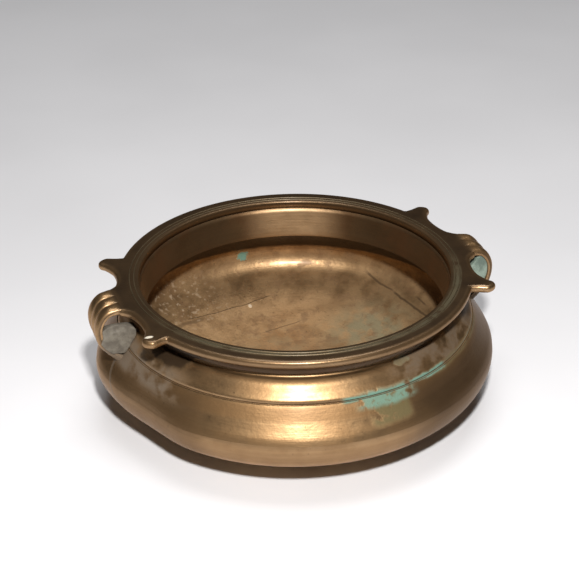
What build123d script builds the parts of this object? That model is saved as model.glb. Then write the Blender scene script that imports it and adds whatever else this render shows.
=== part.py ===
from build123d import *
import math
import os

# Incense burner: a squat cast bronze bowl with a flat flanged mouth, four horn
# cusps, and two three-ribbed loop handles whose eyes are stopped with filling.
# Origin at the centre of the base, +Z up, +X through the handles, millimetres.

# Driving dimensions
HEIGHT = 46.8                 # base to the top face of the rim
RIM_R = 60.0                  # outer radius of the rim flange
RIM_THICK = 2.8
MOUTH_R = 52.6                # inner radius of the rim flange
NECK_R = 54.1                 # outside of the collar
NECK_FOOT_Z = 38.2            # where the shoulder springs from the collar
LIP_R, LIP_Z = 51.0, 33.0     # inside edge and height of the collar's lower lip
BEAD_RADII = (54.3, 55.8)     # two fine raised rings on the rim
BEAD = 0.35                   # radius of a bead's section
BELLY_R, BELLY_Z = 68.2, 19.2   # widest circle
LOWER_RHO, LOWER_END = 10.2, 65.0   # curve below it, and the degrees it covers
BASE_TURN = 5.0               # softening where the underside meets the flat base
FLOOR_TURN = 14.0             # softening where the wall meets the floor inside
SEAM_R, SEAM_Z = 60.9, 31.9   # groove where shoulder and belly meet
WALL = 2.6

LOOP_AT = {"right": -1.5, "left": 180.5}     # bearing of each handle, degrees
HORN_SHIFT = {("right", 1): 1.0, ("right", -1): 0.4, ("left", 1): -0.1, ("left", -1): -1.6}
HORN_REACH = {("right", 1): 1.0, ("right", -1): 1.0, ("left", 1): 0.87, ("left", -1): 1.0}
RIB_W = 4.8                   # one rib, measured along the rim
RIB_ROUND = 1.3               # rounding of a rib's outer edges
LOOP_ROOT_R = 60.5            # where a loop leaves the rim

PLUG_HALF = 6.7               # half the length of a filling, along the rim
PLUG_SKIN = 0.6               # how far the grey filling spreads over the loop's end

RIM_UNDER = HEIGHT - RIM_THICK


def sec(radius, height):
    """Point in the section plane through the bowl's axis."""
    return (radius, 0, height)


def on_arc(centre, rho, degrees):
    """Point of a section arc, the angle measured up from the horizontal."""
    turn = math.radians(degrees)
    return sec(centre[0] + rho * math.cos(turn), centre[1] + rho * math.sin(turn))


def plan(radius, degrees, height=0.0):
    """Point given by its radius and bearing."""
    turn = math.radians(degrees)
    return (radius * math.cos(turn), radius * math.sin(turn), height)


def spun(edges):
    """Solid of revolution of a closed section."""
    return revolve(make_face(edges), Axis.Z)


def underside(rho, floor, softening):
    """Where a lower wall leaves the flat, reaches its cone and ends its curve."""
    lean = math.radians(90 - LOWER_END)
    top = on_arc((BELLY_R - LOWER_RHO, BELLY_Z), rho, -LOWER_END)
    corner = top[0] - (top[2] - floor) / math.tan(lean)
    flat = sec(corner - softening, floor)
    cone = sec(corner + softening * math.cos(lean), floor + softening * math.sin(lean))
    return flat, cone, top


def belly_outside():
    """Outer section of the dish, from the base to the seam groove."""
    low = (BELLY_R - LOWER_RHO, BELLY_Z)
    flat, cone, top = underside(LOWER_RHO, 0, BASE_TURN)
    widest = sec(BELLY_R, BELLY_Z)
    return [
        Line(sec(0, 0), flat),
        TangentArc(flat, cone, tangent=(1, 0, 0)),
        Line(cone, top),
        ThreePointArc(top, on_arc(low, LOWER_RHO, -LOWER_END / 2), widest),
        Spline(widest, sec(67.1, 23.0), sec(65.4, 25.4), sec(63.7, 27.9), sec(SEAM_R, SEAM_Z),
               tangents=[(0, 0, 1), (-0.56, 0, 0.83)]),
    ]


def belly_shell():
    """Dish from the flat base up to the seam groove, open at the top."""
    low = (BELLY_R - LOWER_RHO, BELLY_Z)
    flat, cone, top = underside(LOWER_RHO - WALL, WALL, FLOOR_TURN)
    widest = sec(BELLY_R - WALL, BELLY_Z)
    lip = sec(SEAM_R - 1.8, SEAM_Z - 1.9)
    inside = [
        Spline(lip, sec(61.3, 26.6), sec(63.1, 24.0), sec(64.7, 21.8), widest,
               tangents=[(0.56, 0, -0.83), (0, 0, -1)]),
        ThreePointArc(widest, on_arc(low, LOWER_RHO - WALL, -LOWER_END / 2), top),
        Line(top, cone),
        TangentArc(flat, cone, tangent=(1, 0, 0)),
    ]
    joins = [
        Line(sec(SEAM_R, SEAM_Z), lip),
        Line(flat, sec(0, WALL)),
        Line(sec(0, WALL), sec(0, 0)),
    ]
    return spun(belly_outside() + inside + joins)


def shoulder_curve():
    """Outer section of the shoulder, rolled at the top and straight lower down."""
    return Spline(sec(NECK_R, NECK_FOOT_Z), sec(55.8, 37.7), sec(57.2, 36.7), sec(58.9, 34.6),
                  sec(SEAM_R, SEAM_Z))


def shoulder_shell():
    """Rolled ring between the collar and the seam groove."""
    top = sec(NECK_R, NECK_FOOT_Z)
    under = sec(NECK_R, NECK_FOOT_Z - 2.9)
    lip = sec(SEAM_R - 1.8, SEAM_Z - 1.9)
    return spun([
        shoulder_curve(),
        Line(sec(SEAM_R, SEAM_Z), lip),
        ThreePointArc(lip, sec(56.7, 33.7), under),
        Line(under, top),
    ])


def neck_collar():
    """Tapered collar under the rim, its lip hanging below the shoulder."""
    return spun([
        Line(sec(MOUTH_R, RIM_UNDER), sec(NECK_R, RIM_UNDER)),
        Line(sec(NECK_R, RIM_UNDER), sec(NECK_R, NECK_FOOT_Z - 2.9)),
        Line(sec(NECK_R, NECK_FOOT_Z - 2.9), sec(LIP_R + 1.9, LIP_Z)),
        Line(sec(LIP_R + 1.9, LIP_Z), sec(LIP_R, LIP_Z)),
        Line(sec(LIP_R, LIP_Z), sec(MOUTH_R, RIM_UNDER)),
    ])


def horn(side, turn):
    """One horn cusp with the scallop that runs from it to the loop."""
    shift = HORN_SHIFT[side, turn]
    reach = HORN_REACH[side, turn]

    def edge(radius, degrees):
        moved = degrees + shift * min(1, (degrees - 6.6) / 12)
        return plan(57.5 + (radius - 57.5) * reach, LOOP_AT[side] + turn * moved, RIM_UNDER)

    outer = Spline(edge(60.0, 29.6), edge(62.5, 29.0), edge(65.4, 28.7), edge(67.2, 27.2),
                   edge(67.6, 25.8), edge(66.7, 24.5), edge(65.1, 23.7), edge(63.4, 22.3),
                   edge(61.7, 20.3), edge(60.5, 17.0), edge(60.1, 13.4), edge(60.6, 10.0),
                   edge(62.3, 7.8), edge(64.6, 6.7))
    inner = Spline(edge(57.5, 29.6), edge(57.5, 18.0), edge(57.5, 6.4))
    rim_end = Line(edge(60.0, 29.6), edge(57.5, 29.6))
    loop_end = Line(edge(64.6, 6.7), edge(57.5, 6.4))
    return extrude(make_face([outer, inner, rim_end, loop_end]), RIM_THICK, dir=(0, 0, 1))


def rim_flange():
    """Flat rim with two fine beads and the four horns, open where the loops root."""
    ring = Cylinder(RIM_R, RIM_THICK, align=(Align.CENTER, Align.CENTER, Align.MIN))
    ring -= Cylinder(MOUTH_R, RIM_THICK, align=(Align.CENTER, Align.CENTER, Align.MIN))
    ring = fillet(ring.edges().filter_by(GeomType.CIRCLE).sort_by(SortBy.RADIUS)[-2:], 1.0)
    rim = Pos(0, 0, RIM_UNDER) * ring
    for side in LOOP_AT:
        for turn in (-1, 1):
            rim += horn(side, turn)
    for radius in BEAD_RADII:
        rim += Pos(0, 0, HEIGHT) * Torus(radius, BEAD)
    for side in LOOP_AT:
        rim -= loop_seat(side)
    return rim


def loop_seat(side):
    """Room that a loop's root takes out of the rim's edge."""
    seat = Pos(LOOP_ROOT_R + 10, 0, RIM_UNDER) * Box(20, 3 * RIB_W, 12)
    return Rot(0, 0, LOOP_AT[side]) * seat


def bowl_solid():
    """The bowl filled in up to the rim's underside, to trim what stands on it."""
    return spun(belly_outside() + [
        shoulder_curve(),
        Line(sec(NECK_R, NECK_FOOT_Z), sec(NECK_R, RIM_UNDER)),
        Line(sec(NECK_R, RIM_UNDER), sec(0, RIM_UNDER)),
        Line(sec(0, RIM_UNDER), sec(0, 0)),
    ])


def loop_outer():
    """Outer curve of a loop, from the rim's edge down onto the belly."""
    return Spline(sec(LOOP_ROOT_R, 46.8), sec(63.6, 47.2), sec(66.6, 46.6), sec(69.2, 44.2),
                  sec(70.6, 40.4), sec(70.4, 36.0), sec(68.8, 32.0), sec(63.6, 26.4),
                  tangents=[(1, 0, 0.1), (-0.75, 0, -0.65)])


def loop_inner():
    """Inner curve of a loop, round the eye."""
    return Spline(sec(LOOP_ROOT_R, 44.7), sec(63.4, 45.2), sec(65.8, 44.6), sec(67.6, 42.7),
                  sec(68.5, 39.8), sec(68.2, 36.2), sec(66.8, 33.1), sec(60.8, 28.2),
                  tangents=[(1, 0, 0.1), (-0.75, 0, -0.65)])


def handle_loop(side):
    """Three rounded ribs side by side, curling from the rim to the belly."""
    section = make_face([
        loop_outer(),
        loop_inner(),
        Line(sec(LOOP_ROOT_R, 46.8), sec(LOOP_ROOT_R, 44.7)),
        Line(sec(63.6, 26.4), sec(60.8, 28.2)),
    ])
    rib = Pos(0, -RIB_W / 2, 0) * extrude(section, RIB_W, dir=(0, 1, 0))
    crest = rib.edges().filter_by(GeomType.BSPLINE).sort_by(SortBy.LENGTH)[-2:]
    rib = fillet(crest, RIB_ROUND)
    loop = Part()
    for step in (-1, 0, 1):
        loop += Pos(0, step * RIB_W, 0) * rib
    return Rot(0, 0, LOOP_AT[side]) * loop


def plug_left():
    """Grey filling, falling away behind its face, spread over the loop's front end."""
    section = make_face([
        Line(sec(60.6, 30.6), sec(57.4, 34.0)),
        Line(sec(57.4, 34.0), sec(57.0, 38.6)),
        Spline(sec(57.0, 38.6), sec(59.3, 40.2), sec(62.6, 41.3), sec(65.9, 41.0), sec(68.8, 39.0)),
        Spline(sec(68.8, 39.0), sec(68.6, 36.2), sec(67.2, 32.9), sec(65.0, 31.0)),
        Line(sec(65.0, 31.0), sec(60.6, 30.6)),
    ])
    spread = make_face([
        Line(sec(60.6, 30.6), sec(57.6, 34.0)),
        Spline(sec(57.6, 34.0), sec(60.4, 38.6), sec(64.6, 39.0), sec(68.0, 37.4), sec(69.2, 35.2)),
        Spline(sec(69.2, 35.2), sec(67.9, 33.2), sec(65.4, 30.8)),
        Line(sec(65.4, 30.8), sec(60.6, 30.6)),
    ])
    front = 1.5 * RIB_W
    body = Pos(0, -PLUG_HALF, 0) * extrude(section, PLUG_HALF + front, dir=(0, 1, 0))
    hollow = Box(30, 40, 20, align=(Align.CENTER, Align.MAX, Align.MIN))
    body -= Pos(63, front - 0.8, 41.8) * Rot(38, 0, 0) * hollow
    skin = Pos(0, front, 0) * extrude(spread, PLUG_SKIN, dir=(0, 1, 0))
    return body + skin


def plug_right():
    """Crusted filling with a small hole left at the top, against the rim."""
    section = make_face([
        Line(sec(60.4, 29.4), sec(57.4, 34.0)),
        Line(sec(57.4, 34.0), sec(58.4, 39.4)),
        Spline(sec(58.4, 39.4), sec(61.6, 40.6), sec(63.6, 42.6), sec(65.9, 45.0)),
        Spline(sec(65.9, 45.0), sec(67.9, 43.0), sec(68.9, 39.8), sec(68.6, 36.2),
               sec(67.2, 32.9), sec(64.6, 30.4)),
        Line(sec(64.6, 30.4), sec(60.4, 29.4)),
    ])
    return Pos(0, -PLUG_HALF, 0) * extrude(section, 2 * PLUG_HALF, dir=(0, 1, 0))


def seated(plug, side, loop, bowl):
    """A filling turned to its handle and cut to the walls round it."""
    body = Rot(0, 0, LOOP_AT[side]) * plug
    return body - loop - bowl


def main():
    """Build every piece and write one file for each."""
    os.makedirs("parts", exist_ok=True)
    bowl = bowl_solid()
    loops = {side: handle_loop(side) - bowl for side in LOOP_AT}
    pieces = {
        "belly_shell": belly_shell(),
        "shoulder_shell": shoulder_shell(),
        "neck_collar": neck_collar(),
        "rim_flange": rim_flange(),
        "loop_left": loops["left"],
        "loop_right": loops["right"],
        "plug_left": seated(plug_left(), "left", loops["left"], bowl),
        "plug_right": seated(plug_right(), "right", loops["right"], bowl),
    }
    for node, piece in pieces.items():
        export_step(piece, f"parts/{node}.step")


main()
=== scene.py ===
"""Incense burner: a cast bronze bowl with a horned rim and two ribbed, stopped loops."""
import logging
import math
from collections.abc import Callable, Sequence
from dataclasses import dataclass, field
from enum import Enum

import bmesh
import bpy
from mathutils import Matrix, Vector


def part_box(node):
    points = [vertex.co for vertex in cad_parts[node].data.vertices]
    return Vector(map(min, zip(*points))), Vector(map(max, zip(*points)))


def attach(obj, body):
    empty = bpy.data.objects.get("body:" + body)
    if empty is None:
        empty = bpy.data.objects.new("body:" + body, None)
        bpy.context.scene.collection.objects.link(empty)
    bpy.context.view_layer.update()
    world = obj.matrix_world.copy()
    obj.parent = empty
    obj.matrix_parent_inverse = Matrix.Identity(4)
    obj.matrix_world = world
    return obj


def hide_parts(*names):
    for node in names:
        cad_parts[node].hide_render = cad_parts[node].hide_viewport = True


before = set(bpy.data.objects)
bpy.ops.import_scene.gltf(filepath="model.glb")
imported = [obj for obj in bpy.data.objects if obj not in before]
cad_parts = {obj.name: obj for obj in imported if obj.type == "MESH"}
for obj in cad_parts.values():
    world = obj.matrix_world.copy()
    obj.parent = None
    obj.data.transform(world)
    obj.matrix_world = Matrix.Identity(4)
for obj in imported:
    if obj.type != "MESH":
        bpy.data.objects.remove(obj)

log = logging.getLogger("incense_burner")

MM = 0.001
RIM_THICK = 2.8
BODY = "root"
Point = tuple[float, float]
Colour = tuple[float, float, float, float]


# ---------------------------------------------------------------- the frame's sizes

@dataclass(frozen=True)
class FrameSizes:
    """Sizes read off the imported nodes, in millimetres."""

    belly_r: float
    seam_z: float
    collar_r: float
    rim_r: float
    rim_top: float
    rim_under: float

    @classmethod
    def read(cls) -> "FrameSizes":
        """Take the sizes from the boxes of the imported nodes.

        Returns:
            The sizes, rounded to a hundredth of a millimetre.
        """
        def top(node: str, axis: int) -> float:
            """Far face of a node's box along one axis."""
            return round(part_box(node)[1][axis] / MM, 2)

        rim_under = round(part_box("rim_flange")[0][2] / MM, 2)
        return cls(belly_r=top("belly_shell", 1), seam_z=top("belly_shell", 2),
                   collar_r=top("neck_collar", 1), rim_r=top("rim_flange", 1),
                   rim_top=rim_under + RIM_THICK, rim_under=rim_under)


class Side(Enum):
    """The two handles, by the way they face."""

    RIGHT = "right"
    LEFT = "left"


HANDLE_BEARING = {Side.RIGHT: -1.5, Side.LEFT: 180.5}


@dataclass(frozen=True)
class HornCast:
    """How one horn came out of the mould: which way it leans and how far it reaches."""

    side: Side
    turn: int
    shift: float
    reach: float = 1.0


HORNS = (
    HornCast(Side.RIGHT, -1, 0.4),
    HornCast(Side.RIGHT, 1, 1.0),
    HornCast(Side.LEFT, -1, -1.6),
    HornCast(Side.LEFT, 1, -0.1, 0.87),
)


# ---------------------------------------------------------------- section geometry

def on_arc(centre: Point, rho: float, degrees: float) -> Point:
    """Point of a circle in the section plane."""
    turn = math.radians(degrees)
    return (centre[0] + rho * math.cos(turn), centre[1] + rho * math.sin(turn))


def arc(centre: Point, rho: float, start: float, end: float, steps: int) -> list[Point]:
    """Points along an arc of the section.

    Args:
        centre: Centre of the arc.
        rho: Its radius.
        start: First angle in degrees, up from the horizontal.
        end: Last angle in degrees.
        steps: Number of spans.

    Returns:
        The points, both ends among them.
    """
    return [on_arc(centre, rho, start + (end - start) * step / steps) for step in range(steps + 1)]


def through(points: Sequence[Point], steps: int) -> list[Point]:
    """Smooth open curve through a few points.

    Args:
        points: Points that the curve passes, in order.
        steps: Spans between one point and the next.

    Returns:
        Points along a Catmull-Rom curve.
    """
    ends = [points[0], *points, points[-1]]
    curve: list[Point] = []
    for before, start, end, after in zip(ends, ends[1:], ends[2:], ends[3:]):
        for step in range(steps):
            t = step / steps
            curve.append(tuple(
                0.5 * (2 * b + (c - a) * t + (2 * a - 5 * b + 4 * c - d) * t ** 2
                       + (3 * b - a - 3 * c + d) * t ** 3)
                for a, b, c, d in zip(before, start, end, after)))
    curve.append(points[-1])
    return curve


def smooth(edge0: float, edge1: float, value: float) -> float:
    """Smooth step of value between two edges."""
    t = min(max((value - edge0) / (edge1 - edge0), 0.0), 1.0)
    return t * t * (3 - 2 * t)


def plan(radius: float, degrees: float) -> Point:
    """Point of the plan given by radius and bearing."""
    turn = math.radians(degrees)
    return (radius * math.cos(turn), radius * math.sin(turn))


# ---------------------------------------------------------------- node graphs

class Sig:
    """A node's output socket that does arithmetic."""

    def __init__(self, graph: "Graph", socket: bpy.types.NodeSocket) -> None:
        """Wrap a socket of a graph."""
        self.graph = graph
        self.socket = socket

    def _math(self, operation: str, *values: object) -> "Sig":
        """Add a Math node for an operation on values."""
        return self.graph.node("ShaderNodeMath", {"operation": operation}, dict(enumerate(values)))

    def __add__(self, other: object) -> "Sig":
        """Sum."""
        return self._math("ADD", self, other)

    def __radd__(self, other: object) -> "Sig":
        """Sum with a number on the left."""
        return self._math("ADD", other, self)

    def __sub__(self, other: object) -> "Sig":
        """Difference."""
        return self._math("SUBTRACT", self, other)

    def __rsub__(self, other: object) -> "Sig":
        """Difference with a number on the left."""
        return self._math("SUBTRACT", other, self)

    def __mul__(self, other: object) -> "Sig":
        """Product."""
        return self._math("MULTIPLY", self, other)

    def __rmul__(self, other: object) -> "Sig":
        """Product with a number on the left."""
        return self._math("MULTIPLY", other, self)

    def __truediv__(self, other: object) -> "Sig":
        """Quotient."""
        return self._math("DIVIDE", self, other)

    def __pow__(self, other: object) -> "Sig":
        """Power."""
        return self._math("POWER", self, other)

    def __abs__(self) -> "Sig":
        """Size without sign."""
        return self._math("ABSOLUTE", self)

    def lower_of(self, other: object) -> "Sig":
        """The lower of two values."""
        return self._math("MINIMUM", self, other)

    def higher_of(self, other: object) -> "Sig":
        """The higher of two values."""
        return self._math("MAXIMUM", self, other)

    def ramp(self, low: float, high: float) -> "Sig":
        """Smooth step from 0 at low to 1 at high, which may be the smaller."""
        return self.graph.node("ShaderNodeMapRange", {"interpolation_type": "SMOOTHSTEP"},
                               {"Value": self, "From Min": low, "From Max": high})


class Graph:
    """Adds nodes to a tree."""

    def __init__(self, tree: bpy.types.NodeTree) -> None:
        """Start on a tree."""
        self.tree = tree

    def node(self, kind: str, settings: dict[str, object] | None = None,
             inputs: dict[object, object] | None = None, output: object = 0) -> Sig:
        """Add one node.

        Args:
            kind: The node's type.
            settings: Attributes, set before the sockets.
            inputs: Values or links by socket name or index.
            output: Name or index of the output wanted.

        Returns:
            The wrapped output.
        """
        made = self.tree.nodes.new(kind)
        for name, value in (settings or {}).items():
            setattr(made, name, value)
        for key, value in (inputs or {}).items():
            if isinstance(value, Sig):
                self.tree.links.new(value.socket, made.inputs[key])
            else:
                made.inputs[key].default_value = value
        return Sig(self, made.outputs[output] if len(made.outputs) else None)

    def mix(self, factor: object, first: object, second: object) -> Sig:
        """Mix of two colours."""
        made = self.tree.nodes.new("ShaderNodeMix")
        made.data_type = "RGBA"
        for index, value in ((0, factor), (6, first), (7, second)):
            if isinstance(value, Sig):
                self.tree.links.new(value.socket, made.inputs[index])
            else:
                made.inputs[index].default_value = value
        return Sig(self, made.outputs[2])


class Surface(Graph):
    """A material's graph, with the places that the finishes paint by, in millimetres."""

    def __init__(self, name: str) -> None:
        """Make the material and its coordinates."""
        self.material = bpy.data.materials.new(name)
        self.material.use_nodes = True
        super().__init__(self.material.node_tree)
        self.tree.nodes.clear()
        place = self.node("ShaderNodeTexCoord", output="Object")
        self.place = self.node("ShaderNodeVectorMath", {"operation": "SCALE"}, {0: place, "Scale": 1 / MM})
        split = self.node("ShaderNodeSeparateXYZ", inputs={0: self.place}).socket.node
        self.x, self.y, self.z = (Sig(self, split.outputs[axis]) for axis in range(3))
        self.radius = (self.x * self.x + self.y * self.y) ** 0.5
        turn = self.node("ShaderNodeMath", {"operation": "ARCTAN2"}, {0: self.y, 1: self.x})
        self.bearing = turn * (180 / math.pi)

    def noise(self, size: float, detail: float = 3.0, vector: Sig | None = None, seed: float = 0.0,
              roughness: float = 0.55) -> Sig:
        """Fractal noise whose features are about size millimetres across."""
        return self.node("ShaderNodeTexNoise", {"noise_dimensions": "4D"},
                         {"Vector": vector or self.place, "W": seed, "Scale": 1 / size,
                          "Detail": detail, "Roughness": roughness})

    def along(self, across: float, length: float, seed: float = 0.0, detail: float = 4.0) -> Sig:
        """Noise drawn out round the bowl, as polishing and turning leave it.

        Args:
            across: Width of a streak in millimetres.
            length: Length of a streak in millimetres.
            seed: Place in the noise.
            detail: Octaves.

        Returns:
            The streaks, about 0 to 1.
        """
        course = (self.z * 1.0 + self.radius * 0.75) / across
        unit = self.node("ShaderNodeCombineXYZ", inputs={0: self.x / self.radius * (60 / length),
                                                         1: self.y / self.radius * (60 / length), 2: course})
        return self.node("ShaderNodeTexNoise", {"noise_dimensions": "4D"},
                         {"Vector": unit, "W": seed, "Scale": 1.0, "Detail": detail, "Roughness": 0.6})

    def around(self, bearing: float, half_angle: float, soft: float) -> Sig:
        """1 within half_angle degrees of a bearing, falling to 0 over soft degrees more."""
        away = self.node("ShaderNodeMath", {"operation": "WRAP"},
                         {0: self.bearing - bearing, 1: 180.0, 2: -180.0})
        return abs(away).ramp(half_angle + soft, half_angle)

    def spot(self, centre: tuple[float, float, float], size: tuple[float, float, float], ragged: Sig,
             fray: float = 0.6) -> Sig:
        """A ragged patch.

        Args:
            centre: Its middle.
            size: Half its extent along each axis.
            ragged: Noise that eats its edge.
            fray: How far the noise reaches in.

        Returns:
            1 inside, 0 outside.
        """
        away = self.node("ShaderNodeVectorMath", {"operation": "SUBTRACT"}, {0: self.place, 1: centre})
        scaled = self.node("ShaderNodeVectorMath", {"operation": "DIVIDE"}, {0: away, 1: size})
        reach = self.node("ShaderNodeVectorMath", {"operation": "LENGTH"}, {0: scaled}, "Value")
        return (reach + (ragged - 0.5) * (2 * fray)).ramp(1.15, 0.75)

    def swell(self, centre: tuple[float, float, float], size: tuple[float, float, float]) -> Sig:
        """A soft-edged ellipsoid of 1, falling evenly to 0 at its size."""
        away = self.node("ShaderNodeVectorMath", {"operation": "SUBTRACT"}, {0: self.place, 1: centre})
        scaled = self.node("ShaderNodeVectorMath", {"operation": "DIVIDE"}, {0: away, 1: size})
        return self.node("ShaderNodeVectorMath", {"operation": "LENGTH"}, {0: scaled}, "Value").ramp(1.0, 0.0)

    def scratch(self, start: Point, end: Point, width: float, wander: float = 0.0) -> Sig:
        """A straight mark seen from above.

        Args:
            start: One end in the plan.
            end: The other end.
            width: Half its width in millimetres.
            wander: How far noise bends it.

        Returns:
            1 on the mark, 0 off it.
        """
        length = math.dist(start, end)
        ux, uy = (end[0] - start[0]) / length, (end[1] - start[1]) / length
        along = (self.x - start[0]) * ux + (self.y - start[1]) * uy
        across: Sig = (self.x - start[0]) * -uy + (self.y - start[1]) * ux
        if wander:
            across = across + (self.noise(9, 3, seed=start[0]) - 0.5) * wander
        beyond = abs(along - length / 2).ramp(length / 2, length / 2 - 3)
        return abs(across).ramp(width, width * 0.25) * beyond

    def attribute(self, name: str) -> Sig:
        """A number kept on the mesh's points."""
        return self.node("ShaderNodeAttribute", {"attribute_name": name}, output="Fac")

    def bump(self, height: Sig, distance: float, before: Sig | None = None) -> Sig:
        """A bump of a height in 0 to 1, distance millimetres deep."""
        inputs: dict[object, object] = {"Height": height, "Distance": distance * MM, "Strength": 1.0}
        if before:
            inputs["Normal"] = before
        return self.node("ShaderNodeBump", inputs=inputs)

    def finish(self, **sockets: object) -> bpy.types.Material:
        """Close the graph with a Principled shader.

        Args:
            **sockets: Values or links, by socket name with _ for a space.

        Returns:
            The material.
        """
        shader = self.node("ShaderNodeBsdfPrincipled",
                           inputs={name.replace("_", " "): value for name, value in sockets.items()})
        self.node("ShaderNodeOutputMaterial", inputs={"Surface": shader})
        return self.material


# ---------------------------------------------------------------- finishes

class Part(Enum):
    """Which casting a bronze finish dresses."""

    BELLY = "belly"
    SHOULDER = "shoulder"
    COLLAR = "collar"
    RIM = "rim"
    LOOPS = "loops"
    RINGS = "rings"


@dataclass(frozen=True)
class Stain:
    """A coloured growth or wear mark on the bronze."""

    colour: Colour
    roughness: float
    cover: float
    mask: Callable[[Surface], Sig]


@dataclass(frozen=True)
class BronzeFinish:
    """Handled, never polished bronze: warm metal under brown patina, with verdigris."""

    part: Part
    bright: Colour = (0.47, 0.295, 0.145, 1)
    brown: Colour = (0.225, 0.128, 0.055, 1)
    dark: Colour = (0.052, 0.032, 0.017, 1)
    verdigris: Colour = (0.135, 0.245, 0.19, 1)
    olive: Colour = (0.12, 0.10, 0.045, 1)
    grey: Colour = (0.19, 0.15, 0.11, 1)
    roughness: float = 0.375
    edge_tint: Colour = (0.80, 0.58, 0.40, 1)
    tarnish: float = 0.40
    streaking: float = 1.0

    def build(self) -> bpy.types.Material:
        """Make the material."""
        s = Surface(f"bronze_{self.part.value}")
        clouds = s.noise(24, 5, seed=1.3)
        mottle = s.noise(5.5, 5, seed=4.1)
        grain = s.noise(0.7, 3, seed=2.2)
        streaks = s.along(1.3, 30, seed=3.0)
        fine_streaks = s.along(0.30, 16, seed=7.0)
        patina = (clouds * 0.45 + mottle * 0.3 + streaks * 0.25).ramp(0.38, 0.64)
        colour = s.mix(patina * (1 - self.tarnish) + self.tarnish * 0.75, self.bright, self.brown)
        specks = s.noise(1.5, 4, seed=9.0).ramp(0.62, 0.74)
        colour = s.mix(specks * 0.45, colour, self.dark)
        colour = s.mix(fine_streaks.ramp(0.52, 0.75) * (0.22 * self.streaking), colour, self.dark)
        rough = self.roughness + patina * 0.08 + (grain - 0.5) * 0.10 + (fine_streaks - 0.5) * 0.08
        metal: object = 1 - patina * 0.18
        crust: object = 0.0
        for stain in self.stains():
            mask = stain.mask(s)
            colour = s.mix(mask, colour, stain.colour)
            rough = rough + (stain.roughness - rough) * mask
            metal = metal - metal * mask * stain.cover
            crust = mask * stain.cover + crust
        relief = s.bump(grain * 0.35 + fine_streaks * (0.65 * self.streaking), 0.055)
        relief = s.bump(mottle * 0.7 + streaks * 0.3, 0.20, relief)
        if self.stains():
            relief = s.bump(crust * (0.6 + grain * 0.8), 0.10, relief)
        gloss = 0.4 - patina * 0.2
        if self.stains():
            gloss = (0.50 - patina * 0.25) * (1 - crust * 0.8).higher_of(0.0)
        return s.finish(Base_Color=colour, Metallic=metal, Roughness=rough, Coat_Weight=gloss,
                        Coat_Roughness=0.25, Specular_Tint=self.edge_tint, Normal=relief)

    def stains(self) -> list[Stain]:
        """The stains that lie on this casting."""
        return []


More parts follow.
